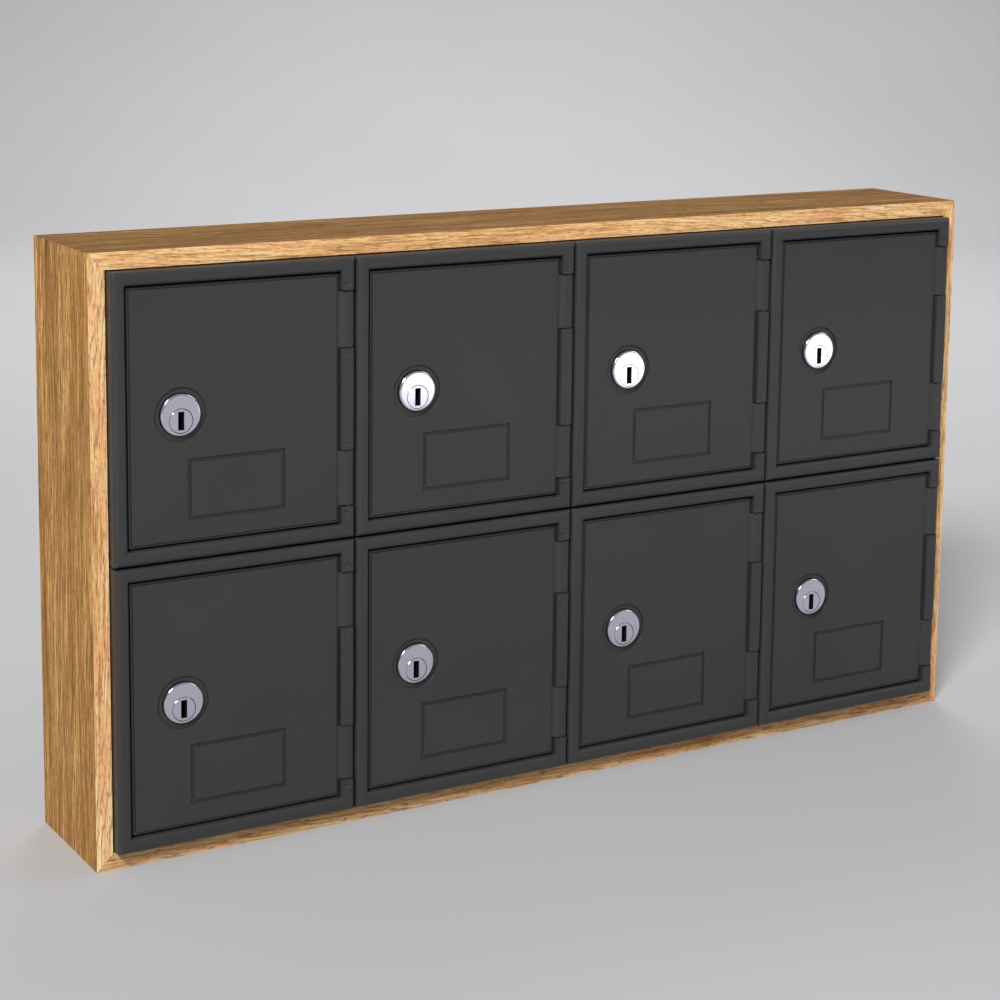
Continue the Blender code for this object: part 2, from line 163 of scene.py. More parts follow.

# Fineness
CORNER_STEPS = 6
ARC_STEPS = 6
ROUND_SIDES = 96
KNUCKLE_STEPS = 10
BACKDROP_STEPS = 24
SMOOTH_BELOW = math.radians(32)

# Camera and studio
LENS_MM = 81.51
CAMERA_SHIFT = -0.21
CAMERA_AT = (-0.6762, -1.1033, 0.4780)
CAMERA_PAN, CAMERA_TILT, CAMERA_ROLL = -0.5341, -0.1501, -0.0113
STUDIO_TURN = math.radians(-31)  # turns the backdrop to face the camera


# ------------------------------------------------------------------ outlines
def rectangle(left, right, bottom, top, y, radius=0.0):
    """Points of an upright rectangle at depth y, its corners rounded if radius is given."""
    steps = CORNER_STEPS if radius else 0
    corners = (
        (right - radius, top - radius),
        (left + radius, top - radius),
        (left + radius, bottom + radius),
        (right - radius, bottom + radius),
    )
    points = []
    for quarter, (x, z) in enumerate(corners):
        for step in range(steps + 1):
            angle = math.pi / 2 * (quarter + step / max(steps, 1))
            points.append((x + radius * math.cos(angle), y, z + radius * math.sin(angle)))
    return points


def circle(x, z, radius, y, sides=ROUND_SIDES):
    angles = [2 * math.pi * i / sides for i in range(sides)]
    return [(x + radius * math.cos(a), y, z + radius * math.sin(a)) for a in angles]


def quarter_arc(steps=ARC_STEPS):
    """(1 - cos, 1 - sin) of angles from 0 to 90 degrees: a convex rounding from side to front."""
    angles = [math.pi / 2 * i / steps for i in range(steps + 1)]
    return [(1 - math.cos(a), 1 - math.sin(a)) for a in angles]


def barrel_side(crest):
    """Points (x, depth) that round a knuckle from its front at depth crest to its right side."""
    start = HINGE.x + 0.4 * MM
    wide = HINGE.x + BARREL_RADIUS - start
    tall = HINGE.y - crest
    points = []
    for i in range(KNUCKLE_STEPS + 1):
        angle = math.pi / 2 * i / KNUCKLE_STEPS
        points.append((start + wide * math.sin(angle), HINGE.y - tall * math.cos(angle)))
    return points


# ------------------------------------------------------------------ meshes
def skin(bm, rings):
    loops = [[bm.verts.new(point) for point in ring] for ring in rings]
    for near, far in zip(loops, loops[1:]):
        join(bm, near, far)
    return loops


def join(bm, near, far):
    for i in range(len(near)):
        j = (i + 1) % len(near)
        bm.faces.new((near[i], near[j], far[j], far[i]))


def finished(name, bm):
    bmesh.ops.recalc_face_normals(bm, faces=bm.faces)
    mesh = bpy.data.meshes.new(name)
    bm.to_mesh(mesh)
    bm.free()
    return mesh


def round_edges(bm, edges, offset):
    bmesh.ops.bevel(bm, geom=list(edges), offset=offset, segments=3, profile=0.5, affect="EDGES")


def loft(name, rings, bevel=0.0):
    """A body through rings of equally many points, with flat ends. bevel rounds the ends."""
    bm = bmesh.new()
    loops = skin(bm, rings)
    caps = [bm.faces.new(loops[0]), bm.faces.new(loops[-1])]
    if bevel:
        round_edges(bm, {edge for cap in caps for edge in cap.edges}, bevel)
    return finished(name, bm)


def closed_loft(name, rings):
    """A body like a picture frame, whose last ring joins its first."""
    bm = bmesh.new()
    loops = skin(bm, rings)
    join(bm, loops[-1], loops[0])
    return finished(name, bm)


def block(name, low, high, bevel=0.0):
    bm = bmesh.new()
    rings = [rectangle(low[0], high[0], low[2], high[2], y) for y in (low[1], high[1])]
    loops = skin(bm, rings)
    bm.faces.new(loops[0])
    bm.faces.new(loops[-1])
    if bevel:
        round_edges(bm, bm.edges, bevel)
    return finished(name, bm)


def upright_prism(name, outline, bottom, top, bevel=0.0):
    return loft(name, [[(x, y, z) for x, y in outline] for z in (bottom, top)], bevel)


def upright_rod(name, x, y, radius, bottom, top, sides=24, bevel=0.0):
    angles = [2 * math.pi * i / sides for i in range(sides)]
    outline = [(x + radius * math.cos(a), y + radius * math.sin(a)) for a in angles]
    return upright_prism(name, outline, bottom, top, bevel)


def turned(name, x, z, profile, sides=ROUND_SIDES):
    """A body of revolution about an axis along Y, from (radius, depth) pairs."""
    return loft(name, [circle(x, z, radius, y, sides) for radius, y in profile])


def ellipsoid(name, centre, half):
    bm = bmesh.new()
    matrix = Matrix.Translation(centre) @ Matrix.Diagonal((*half, 1))
    bmesh.ops.create_uvsphere(bm, u_segments=32, v_segments=20, radius=1, matrix=matrix)
    return finished(name, bm)


def evaluated(name, mesh, add_modifiers):
    """The mesh that comes out of the modifiers which add_modifiers puts on it."""
    body = bpy.data.objects.new(name, mesh)
    bpy.context.scene.collection.objects.link(body)
    add_modifiers(body)
    bpy.context.view_layer.update()
    graph = bpy.context.evaluated_depsgraph_get()
    made = bpy.data.meshes.new_from_object(
        body.evaluated_get(graph), preserve_all_data_layers=True, depsgraph=graph
    )
    made.name = name
    bpy.data.objects.remove(body)
    return made


def combined(name, base, *steps):
    """The mesh left when each (Boolean operation, mesh) has been applied to base in turn."""
    helpers = []

    def cut(body):
        for operation, mesh in steps:
            helper = bpy.data.objects.new(mesh.name, mesh)
            bpy.context.scene.collection.objects.link(helper)
            modifier = body.modifiers.new(mesh.name, "BOOLEAN")
            modifier.operation = operation
            modifier.solver = "EXACT"
            modifier.material_mode = "TRANSFER"
            modifier.object = helper
            helpers.append(helper)

    made = evaluated(name, base, cut)
    for helper in helpers:
        bpy.data.objects.remove(helper)
    return made


def shaded(mesh):
    """Smooth curves with flat faces left flat."""
    mesh.shade_smooth()
    mesh.set_sharp_from_angle(angle=SMOOTH_BELOW)

    def weigh(body):
        modifier = body.modifiers.new("weighted", "WEIGHTED_NORMAL")
        modifier.keep_sharp = True
        modifier.weight = 100

    return evaluated(mesh.name, mesh, weigh)


def painted(mesh, *materials):
    for material in materials:
        mesh.materials.append(material)
    return mesh


def coated(mesh, material):
    """The mesh shaded, with this material alone."""
    mesh.materials.clear()
    return shaded(painted(mesh, material))


def piece(name, mesh, body, at=(0, 0, 0), nodes=()):
    """An object of the model that rides on a body and stands for some of its nodes."""
    obj = bpy.data.objects.new(name, mesh)
    bpy.context.scene.collection.objects.link(obj)
    obj.location = at
    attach(obj, body)
    if nodes:
        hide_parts(*nodes)
    return obj


# ------------------------------------------------------------------ materials
class Shader:
    """A material and the nodes that feed its Principled BSDF."""

    def __init__(self, name, **constants):
        self.material = bpy.data.materials.new(name)
        self.material.use_nodes = True
        self.tree = self.material.node_tree
        self.bsdf = self.tree.nodes["Principled BSDF"]
        for key, value in constants.items():
            self.bsdf.inputs[key.replace("_", " ")].default_value = value

    def node(self, kind, settings=None, **inputs):
        """A node with its settings. Each input is a value, or the output that it is linked from.

        An input's name has _ for a space, and _N stands for the input of index N.
        """
        made = self.tree.nodes.new(f"ShaderNode{kind}")
        for key, value in (settings or {}).items():
            setattr(made, key, value)
        for key, value in inputs.items():
            which = int(key[1:]) if key[0] == "_" else key.replace("_", " ")
            socket = made.inputs[which]
            if isinstance(value, bpy.types.NodeSocket):
                self.tree.links.new(value, socket)
            else:
                socket.default_value = value
        return made

    def places(self, scale=(1, 1, 1), offset=(0, 0, 0), own=False):
        """Object coordinates in metres times scale. own shifts the pattern on each piece."""
        source = self.node("TexCoord").outputs["Object"]
        moved = self.node(
            "Mapping", {"vector_type": "POINT"}, Vector=source, Location=offset, Scale=scale
        )
        if not own:
            return moved.outputs[0]
        chance = self.node("ObjectInfo").outputs["Random"]
        far = self.node("Math", {"operation": "MULTIPLY"}, _0=chance, _1=97.0).outputs[0]
        return self.node("VectorMath", {"operation": "ADD"}, _0=moved.outputs[0], _1=far).outputs[0]

    def noise(self, where, detail=4.0, roughness=0.5, distortion=0.0):
        made = self.node(
            "TexNoise",
            Vector=where,
            Scale=1.0,
            Detail=detail,
            Roughness=roughness,
            Distortion=distortion,
        )
        return made.outputs["Fac"]

    def span(self, value, low, high, out_low=0.0, out_high=1.0):
        made = self.node(
            "MapRange", Value=value, From_Min=low, From_Max=high, To_Min=out_low, To_Max=out_high
        )
        return made.outputs[0]

    def math(self, operation, a, b):
        return self.node("Math", {"operation": operation}, _0=a, _1=b).outputs[0]

    def mix(self, factor, a, b, blend="MIX"):
        settings = {"data_type": "RGBA", "blend_type": blend}
        return self.node("Mix", settings, _0=factor, _6=a, _7=b).outputs[2]

    def ramp(self, value, *stops):
        made = self.node("ValToRGB", Fac=value)
        elements = made.color_ramp.elements
        while len(elements) < len(stops):
            elements.new(0.5)
        for element, (place, color) in zip(elements, stops):
            element.position = place
            element.color = (*color, 1)
        return made.outputs[0]

    def feed(self, name, output):
        self.tree.links.new(output, self.bsdf.inputs[name])

    def bump(self, height, distance, strength=1.0):
        made = self.node("Bump", Height=height, Distance=distance, Strength=strength)
        self.feed("Normal", made.outputs[0])


def enamel():
    """Dark grey satin stoved enamel, with a very fine orange peel."""
    shader = Shader("dark_enamel", Specular_IOR_Level=0.36)
    cloud = shader.noise(shader.places((18, 18, 18), own=True), detail=3)
    speck = shader.noise(shader.places((900, 900, 900)), detail=2)
    tone = shader.ramp(cloud, (0.3, (0.033, 0.033, 0.034)), (0.7, (0.037, 0.037, 0.038)))
    shader.feed("Base Color", tone)
    satin = shader.span(cloud, 0.3, 0.7, 0.40, 0.46)
    uneven = shader.span(speck, 0.3, 0.7, -0.02, 0.02)
    shader.feed("Roughness", shader.math("ADD", satin, uneven))
    peel = shader.noise(shader.places((1400, 1400, 1400)), detail=2)
    shader.bump(peel, 0.00003, 0.35)
    return shader.material


def wood(name, seed, dark, middle, light, pink):
    """Oak with fibres, growth lines and pores, with little gloss. The grain runs along X."""
    shader = Shader(name, Specular_IOR_Level=0.03)
    offset = (seed * 3.7, seed * 5.3, seed * 1.9)

    def scaled(length, across):
        """Places for a pattern this many millimetres long along the grain, and wide across it."""
        return shader.places((1 / (length * MM), 1 / (across * MM), 1 / (across * MM)), offset)

    growth = shader.node(
        "TexWave",
        {"wave_type": "BANDS", "bands_direction": "DIAGONAL", "wave_profile": "SIN"},
        Vector=scaled(60, 4.5),
        Scale=1.0,
        Distortion=11.0,
        Detail=2.0,
        Detail_Scale=0.9,
        Detail_Roughness=0.55,
    ).outputs["Fac"]
    bands = shader.noise(scaled(130, 8), detail=2, distortion=0.6)
    streaks = shader.noise(scaled(38, 1.6), detail=4, roughness=0.65)
    fibres = shader.noise(scaled(9, 0.55), detail=3, roughness=0.7)
    pores = shader.noise(scaled(4.5, 0.5), detail=1)
    blend = shader.math("MULTIPLY", bands, 0.34)
    for field, share in ((streaks, 0.46), (fibres, 0.36)):
        blend = shader.math("ADD", blend, shader.math("MULTIPLY", field, share))
    color = shader.ramp(shader.span(blend, 0.475, 0.685), (0.0, dark), (0.5, middle), (1.0, light))
    blush = shader.noise(scaled(60, 3), detail=3, roughness=0.6)
    color = shader.mix(shader.span(blush, 0.50, 0.64, 0.0, 0.85), color, (*pink, 1))
    line = shader.math("MULTIPLY", shader.span(growth, 0.30, 0.02), shader.span(bands, 0.35, 0.60))
    color = shader.mix(shader.math("MULTIPLY", line, 0.75), color, (*dark, 1))
    pore = shader.span(pores, 0.58, 0.70)
    color = shader.mix(shader.math("MULTIPLY", pore, 0.75), color, (*[c * 0.55 for c in dark], 1))
    shader.feed("Base Color", color)
    shader.feed("Roughness", shader.span(fibres, 0.3, 0.7, 0.60, 0.75))
    raised = shader.math("MULTIPLY", fibres, 0.5)
    sunk = shader.math("MULTIPLY", pore, 0.6)
    shader.bump(shader.math("SUBTRACT", raised, sunk), 0.00012, 0.5)
    return shader.material


def chrome():
    """Chrome plate with faint upright brush marks."""
    shader = Shader("bright_chrome", Metallic=1.0, Base_Color=(0.66, 0.66, 0.76, 1))
    brush = shader.noise(shader.places((2500, 300, 60), own=True), detail=3)
    shader.feed("Roughness", shader.span(brush, 0.3, 0.7, 0.10, 0.19))
    shader.bump(brush, 0.00001, 0.25)
    return shader.material


def zinc():
    shader = Shader("zinc_plate", Metallic=1.0)
    cloud = shader.noise(shader.places((150, 150, 150), own=True), detail=5)
    # The plate's grey is kept dark: partly the zinc's own colour, partly painted shade, so that the
    # hinge pin seen in the knuckle gaps shows dark and without glints.
    tone = shader.ramp(cloud, (0.3, (0.36, 0.36, 0.35)), (0.7, (0.44, 0.44, 0.43)))
    shader.feed("Base Color", tone)
    shader.feed("Roughness", shader.span(cloud, 0.3, 0.7, 0.38, 0.52))
    shader.bump(cloud, 0.00002, 0.3)
    return shader.material


def painted_shade_black():
    """Near-black paint for the inside of the lock's bore and keyway: painted shade where these
    hollows lie dark.
    """
    shader = Shader("lock_inside", Roughness=0.8, Specular_IOR_Level=0.1)
    shade_mottle = shader.noise(shader.places((800, 800, 800)), detail=2)
    tone = shader.ramp(shade_mottle, (0.3, (0.004, 0.004, 0.004)), (0.7, (0.010, 0.010, 0.009)))
    shader.feed("Base Color", tone)
    return shader.material


def hardboard():
    shader = Shader("hardboard", Specular_IOR_Level=0.3)
    fibre = shader.noise(shader.places((600, 600, 600)), detail=6, roughness=0.7)
    cloud = shader.noise(shader.places((12, 12, 12)), detail=4)
    tone = shader.ramp(fibre, (0.3, (0.13, 0.075, 0.038)), (0.7, (0.23, 0.14, 0.075)))
    shade = shader.ramp(cloud, (0.3, (0.85, 0.85, 0.85)), (0.7, (1.0, 1.0, 1.0)))
    shader.feed("Base Color", shader.mix(1.0, tone, shade, "MULTIPLY"))
    shader.feed("Roughness", shader.span(cloud, 0.3, 0.7, 0.55, 0.7))
    shader.bump(fibre, 0.0001, 0.4)
    return shader.material


# ------------------------------------------------------------------ case
def board_mesh(name, length, depth, thickness, materials):
    """A mitred board along X, its outer face up and its front edge facing -Y.

    The first material is for its faces and the second for its front edge.
    """
    bm = bmesh.new()
    half = length / 2
    cut = half - thickness
    top = thickness / 2
    outline = [(-half, top), (half, top), (cut, -top), (-cut, -top)]
    loops = skin(bm, [[(x, y, z) for x, z in outline] for y in (-depth / 2, depth / 2)])
    bm.faces.new(loops[0])
    bm.faces.new(loops[-1])
    bm.normal_update()
    long_edges = [
        edge
        for edge in bm.edges
        if abs(edge.verts[0].co.x - edge.verts[1].co.x) > thickness * 2
    ]
    round_edges(bm, long_edges, BOARD_BEVEL)
    bmesh.ops.recalc_face_normals(bm, faces=bm.faces)
    # Faces that look to -Y, the front edge, take the second material, whose lighter oak is painted
    # light.
    for face in bm.faces:
        face.material_index = 1 if face.normal.y < -0.5 else 0
    return shaded(painted(finished(name, bm), *materials))


def make_case():
    # The oak's colours are set face by face as painted light and shade: the top board's faces take
    # the darkest palette, the other boards' faces a middle one and every front edge the lightest.
    top_face_painted_shade = {
        "dark": (0.10, 0.046, 0.011),
        "middle": (0.26, 0.139, 0.041),
        "light": (0.42, 0.25, 0.095),
        "pink": (0.28, 0.120, 0.055),
    }
    side = {
        "dark": (0.18, 0.084, 0.019),
        "middle": (0.48, 0.256, 0.077),
        "light": (0.76, 0.455, 0.168),
        "pink": (0.40, 0.175, 0.075),
    }
    # Front edges: far lighter oak than the faces, painted light on the fronts.
    edge = {
        "dark": (0.44, 0.20, 0.07),
        "middle": (0.92, 0.56, 0.240),
        "light": (0.98, 0.74, 0.42),
        "pink": (0.92, 0.46, 0.23),
    }
    turns = {"case_top": 0, "case_left": -90, "case_bottom": 180, "case_right": 90}
    for seed, (name, turn) in enumerate(turns.items(), 1):
        low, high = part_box(name)
        size = high - low
        length, thickness = max(size.x, size.z) + MITRE_CLOSE, min(size.x, size.z)
        # The top board's faces take the darker palette: painted shade on the top.
        face = top_face_painted_shade if name == "case_top" else side
        # Scales the front edge's colours down for the bottom board: painted shadow of the bezels.
        tone = EDGE_PAINTED_SHADOW.get(name, 1)
        rim = {key: tuple(tone * c for c in color) for key, color in edge.items()}
        materials = (wood(f"{name}_oak", seed, **face), wood(f"{name}_edge_oak", seed + 7, **rim))
        mesh = board_mesh(f"{name}_board", length, size.y, thickness, materials)
        obj = piece(f"{name}_board", mesh, "cabinet", nodes=[name])
        turned_up = Matrix.Rotation(math.radians(turn), 4, "Y")
        obj.matrix_world = Matrix.Translation((low + high) / 2) @ turned_up
    back = frame["nodes"]["back_panel"]
    back.data.materials.clear()
    back.data.materials.append(hardboard())


# ------------------------------------------------------------------ module body
def ring(outward, depth, radius, shift=0.0):
    """A ring round the door recess, outward from its edge. shift brings its right side in."""
    left = RECESS_LEFT - outward
    right = RECESS_RIGHT - shift + outward * (RIM_SHARE_RIGHT if outward > 0 else 1)
    return rectangle(left, right, RECESS_BOTTOM - outward, RECESS_TOP + outward, depth, radius)


def outer_ring(inset, depth, radius):
    return rectangle(inset, MODULE_SIZE.x - inset, inset, MODULE_SIZE.z - inset, depth, radius)


def shell_rings():
    """Rings from the tub's outer back, over the bezel and down through the recess to its floor."""
    back = MODULE_SIZE.y
    rings = [
        outer_ring(TUB_BACK_EDGE, back, TUB_CORNER),
        outer_ring(0, back - TUB_BACK_EDGE, TUB_CORNER),
        outer_ring(0, SIDE_EASE_BACK + SIDE_EASE_RUNOUT, TUB_CORNER),
        outer_ring(SIDE_EASE, SIDE_EASE_BACK, CREST_CORNER),
    ]
    for across, down in quarter_arc():
        inset = SIDE_EASE + EDGE_ROUNDING * across
        rings.append(outer_ring(inset, EDGE_ROUNDING * down, CREST_CORNER))
    for up, out in quarter_arc():
        rings.append(ring(RIM_ROUNDING * out, RIM_ROUNDING * up, RIM_CORNER, RIM_SHIFT_RIGHT))
    rings += [
        ring(0, RECESS_DEPTH, RIM_CORNER, RIM_SHIFT_RIGHT),
        ring(-LEDGE_WIDTH + LEDGE_CHAMFER, RECESS_DEPTH, RIM_CORNER),
        ring(-LEDGE_WIDTH, RECESS_DEPTH + LEDGE_CHAMFER, RIM_CORNER),
        ring(-LEDGE_WIDTH, LEDGE_BACK, RIM_CORNER),
        outer_ring(WALL, LEDGE_BACK, TUB_FILLET),
    ]
    floor = back - WALL
    for across, down in quarter_arc():
        inset = WALL + TUB_FILLET * across
        rings.append(outer_ring(inset, floor - TUB_FILLET * down, TUB_FILLET))
    return rings


def knuckle_spans():
    """Heights of the hinge pocket, the frame's knuckle and the door's two knuckles."""
    top, upper_end, lower_start, bottom = (MODULE_SIZE.z - end for end in KNUCKLE_ENDS)
    play = KNUCKLE_GAP / 2 - KNUCKLE_BEVEL
    frame_span = (lower_start + play, upper_end - play)
    door_spans = [(bottom + play, lower_start - play), (upper_end + play, top - play)]
    return (bottom - KNUCKLE_GAP / 2, top + KNUCKLE_GAP / 2), frame_span, door_spans


def module_mesh(paint):
    pocket_span, frame_span, _ = knuckle_spans()
    low = (RECESS_RIGHT - DOOR_GAP / 2, -BEYOND, pocket_span[0])
    pocket = block("hinge_pocket", low, (MODULE_SIZE.x + BEYOND, POCKET_DEPTH, pocket_span[1]))
    root = POCKET_DEPTH + FIT
    shoulder = RECESS_RIGHT - 0.35 * MM
    outline = [
        (shoulder, root),
        (shoulder, 0.9 * MM),
        (shoulder + 0.15 * MM, 0.6 * MM),
        (shoulder + 0.5 * MM, 0.42 * MM),
        (HINGE.x - 2 * MM, 0.15 * MM),
        *barrel_side(0.1 * MM),
        (HINGE.x + BARREL_RADIUS, root),
    ]
    knuckle = upright_prism("frame_knuckle", outline, *frame_span, bevel=KNUCKLE_BEVEL)
    strike_low = (WALL / 2, LEDGE_BACK - BEYOND, PLUG.z - STRIKE_HEIGHT / 2)
    strike_high = (RECESS_LEFT + LEDGE_WIDTH, STRIKE_BACK, PLUG.z + STRIKE_HEIGHT / 2)
    strike = block("strike", strike_low, strike_high, bevel=STRIKE_BEVEL)
    bore = upright_rod("pin_bore", HINGE.x, HINGE.y, BORE_RADIUS, -BEYOND, PIN_HIGH.z + FIT)
    steps = [("DIFFERENCE", pocket), ("UNION", knuckle), ("UNION", strike), ("DIFFERENCE", bore)]
    ends = ((pocket_span[1], 1), (frame_span[1], -1), (frame_span[0], 1), (pocket_span[0], -1))
    for i, (end, side) in enumerate(ends):
        centre = Vector((RECESS_RIGHT + DIMPLE_FROM_RECESS, 0, end + side * DIMPLE_FROM_END))
        steps.append(("DIFFERENCE", ellipsoid(f"dimple_{i}", centre, DIMPLE)))
    return coated(combined("module_shell", loft("module_blank", shell_rings()), *steps), paint)


# ------------------------------------------------------------------ door
def door_plate():
    """The plate with its raised panel, made from its back edge to its front."""

    def inner(inset, depth):
        return ring(-DOOR_GAP - inset, depth, 0)

    strip = DOOR_FRONT + EDGE_STEP
    groove_start, groove_floor = EDGE_STRIP - EDGE_GROOVE, strip + EDGE_GROOVE
    slope = 0.05 * MM
    panel_edge, round_over = EDGE_STRIP + slope, 0.25 * MM
    soft = EDGE_SOFTNESS
    rings = [inner(soft, DOOR_BACK), inner(0, DOOR_BACK - soft)]
    rings += [inner(soft * across, strip + soft * down) for across, down in quarter_arc(3)]
    rings.append(inner(groove_start, strip))
    rings.append(inner(groove_start + slope, groove_floor))
    rings.append(inner(EDGE_STRIP, groove_floor))
    for across, down in quarter_arc(3):
        rings.append(inner(panel_edge + round_over * across, DOOR_FRONT + round_over * down))
    return loft("door_plate", rings)


def label_groove():
    """The shallow groove that frames the place for a label."""
    left = LABEL_LEFT
    right = left + LABEL_SIZE[0]
    top = MODULE_SIZE.z - LABEL_DOWN
    bottom = top - LABEL_SIZE[1]
    floor = DOOR_FRONT + GROOVE_DEPTH
    lip = GROOVE_LIP
    profile = [
        (-2 * lip, DOOR_FRONT - lip),
        (0, DOOR_FRONT + lip),
        (0, floor),
        (GROOVE_WIDTH, floor),
        (GROOVE_WIDTH, DOOR_FRONT + lip),
        (GROOVE_WIDTH + 2 * lip, DOOR_FRONT - lip),
    ]
    rings = [rectangle(left + a, right - a, bottom + a, top - a, depth) for a, depth in profile]
    return closed_loft("label_groove", rings)


def lock_hole():
    """The sunk ring round the lock, the seat for its flange and the hole for its body."""
    seat = FACE_RADIUS + FIT
    hole = BODY_RADIUS + FIT
    lip = RING_LIP
    ring_floor = DOOR_FRONT + RING_DEPTH
    seat_floor = FLANGE_BACK + FIT
    profile = [
        (RING_RADIUS + 2 * lip, DOOR_FRONT - lip),
        (RING_RADIUS, DOOR_FRONT + lip),
        (RING_RADIUS, ring_floor),
        (seat, ring_floor),
        (seat, seat_floor),
        (hole, seat_floor),
        (hole, DOOR_BACK + BEYOND),
    ]
    return turned("lock_hole", FACE_X, FACE_Z, profile)


def door_mesh(paint):
    _, _, spans = knuckle_spans()
    web = DOOR_FRONT + EDGE_STEP
    edge = RECESS_RIGHT - DOOR_GAP
    inside = edge - EDGE_STRIP + EDGE_GROOVE + 0.1 * MM
    outline = [(inside, KNUCKLE_WEB_BACK), (inside, web)]
    rise_start, rise_end = edge + 0.1 * MM, HINGE.x - 2.2 * MM
    for i in range(KNUCKLE_STEPS + 1):
        share = i / KNUCKLE_STEPS
        lift = (1 - math.cos(math.pi * share)) / 2
        x = rise_start + (rise_end - rise_start) * share
        outline.append((x, web + (KNUCKLE_CREST - web) * lift))
    outline += barrel_side(KNUCKLE_CREST)
    for i in range(1, KNUCKLE_STEPS + 1):
        angle = math.pi / 2 * i / KNUCKLE_STEPS
        x = HINGE.x + BARREL_RADIUS * math.cos(angle)
        outline.append((x, HINGE.y + BARREL_RADIUS * math.sin(angle)))
    steps = [("DIFFERENCE", label_groove()), ("DIFFERENCE", lock_hole())]
    for i, (bottom, top) in enumerate(spans):
        knuckle = upright_prism(f"door_knuckle_{i}", outline, bottom, top, KNUCKLE_BEVEL)
        steps.append(("UNION", knuckle))
    bore = upright_rod("knuckle_bore", HINGE.x, HINGE.y, BORE_RADIUS, 0, MODULE_SIZE.z)
    steps.append(("DIFFERENCE", bore))
    return coated(combined("door_leaf", door_plate(), *steps), paint)


# ------------------------------------------------------------------ lock
def lock_shell_mesh(metal, inside):
    """The lock's threaded body with its bevelled face, bored for the plug."""
    front = LOCK_LOW.y
    chamfer = 0.25 * MM
    rim = [(FACE_RADIUS - chamfer, FLANGE_BACK), (FACE_RADIUS, FLANGE_BACK - chamfer)]
    for across, down in quarter_arc(5):
        rim.append((FACE_RADIUS - FACE_BEVEL * across, front + FACE_BEVEL * 0.75 * down))
    thread = []
    depth = FLANGE_BACK
    while depth + THREAD_PITCH < LOCK_HIGH.y:
        thread.append((BODY_RADIUS, depth + THREAD_PITCH * 0.5))
        thread.append((BODY_RADIUS - THREAD_DEPTH, depth + THREAD_PITCH))
        depth += THREAD_PITCH
    end = (BODY_RADIUS - 0.6 * MM, LOCK_HIGH.y)
    neck = (BODY_RADIUS - 0.3 * MM, FLANGE_BACK)
    profile = [end, *reversed(thread), neck, *rim]
    body = painted(turned("lock_blank", FACE_X, FACE_Z, profile), metal)
    head, shank = PLUG_RADIUS + PLUG_PLAY, PLUG_SHANK_RADIUS + FIT
    step = PLUG_HEAD_BACK + FIT
    steps = [(head, 0), (head, step), (shank, step), (shank, LOCK_HIGH.y + BEYOND)]
    # The bore's walls take the near-black painted shade.
    bore = painted(turned("plug_bore", PLUG.x, PLUG.z, steps), inside)
    return shaded(combined("lock_shell", body, ("DIFFERENCE", bore)))


def plug_mesh(metal, inside):
    """The plug with its keyway, and the square tail that carries the cam."""
    front = LOCK_LOW.y
    soft = 0.15 * MM
    profile = [
        (PLUG_RADIUS - soft, front),
        (PLUG_RADIUS, front + soft),
        (PLUG_RADIUS, PLUG_HEAD_BACK),
        (PLUG_SHANK_RADIUS, PLUG_HEAD_BACK),
        (PLUG_SHANK_RADIUS, PLUG_SHANK_BACK),
    ]
    plug = painted(turned("plug_blank", PLUG.x, PLUG.z, profile), metal)
    half = TAIL_WIDTH / 2
    low = (PLUG.x - half, PLUG_SHANK_BACK - BEYOND, PLUG.z - half)
    high = (PLUG.x + half, TAIL_BACK, PLUG.z + half)
    tail = painted(block("plug_tail", low, high, bevel=0.3 * MM), metal)
    wide, tall, deep = KEYWAY
    low = (PLUG.x - wide / 2, front - BEYOND, PLUG.z - tall / 2)
    high = (PLUG.x + wide / 2, front + deep, PLUG.z + tall / 2)
    # The keyway's walls take the near-black painted shade.
    slot = painted(block("keyway", low, high), inside)
    return shaded(combined("plug_core", plug, ("UNION", tail), ("DIFFERENCE", slot)))


def cam_mesh(metal):
    """A flat bar that hangs from its eye and narrows to a round tip."""
    tip = CAM_LOW.z - PLUG.z + CAM_TIP_RADIUS
    lean = math.asin((CAM_EYE_RADIUS - CAM_TIP_RADIUS) / -tip)
    steps = 24
    outline = []
    for i in range(steps + 1):
        angle = -lean + (math.pi + 2 * lean) * i / steps
        outline.append((CAM_EYE_RADIUS * math.cos(angle), CAM_EYE_RADIUS * math.sin(angle)))
    for i in range(steps + 1):
        angle = math.pi + lean + (math.pi - 2 * lean) * i / steps
        outline.append((CAM_TIP_RADIUS * math.cos(angle), tip + CAM_TIP_RADIUS * math.sin(angle)))
    rings = [[(PLUG.x + x, y, PLUG.z + z) for x, z in outline] for y in (CAM_LOW.y, CAM_HIGH.y)]
    plate = loft("cam_plate", rings, bevel=0.25 * MM)
    half = TAIL_WIDTH / 2 + 0.15 * MM
    low = (PLUG.x - half, CAM_LOW.y - BEYOND, PLUG.z - half)
    eye = block("cam_eye", low, (PLUG.x + half, CAM_HIGH.y + BEYOND, PLUG.z + half))
    return coated(combined("cam_bar", plate, ("DIFFERENCE", eye)), metal)


def hexagon(x, z, across_flats, y):
    return circle(x, z, across_flats / math.sqrt(3), y, 6)


def nut_mesh(metal):
    """The thin hexagonal nut that clamps the lock to the door."""
    front = DOOR_BACK + 0.05 * MM
    back = front + NUT_THICKNESS
    rings = [hexagon(FACE_X, FACE_Z, NUT_ACROSS_FLATS, y) for y in (front, back)]
    blank = loft("nut_blank", rings, bevel=0.4 * MM)
    through = [(BODY_RADIUS, front - BEYOND), (BODY_RADIUS, back + BEYOND)]
    hole = turned("nut_hole", FACE_X, FACE_Z, through)
    return coated(combined("lock_nut", blank, ("DIFFERENCE", hole)), metal)


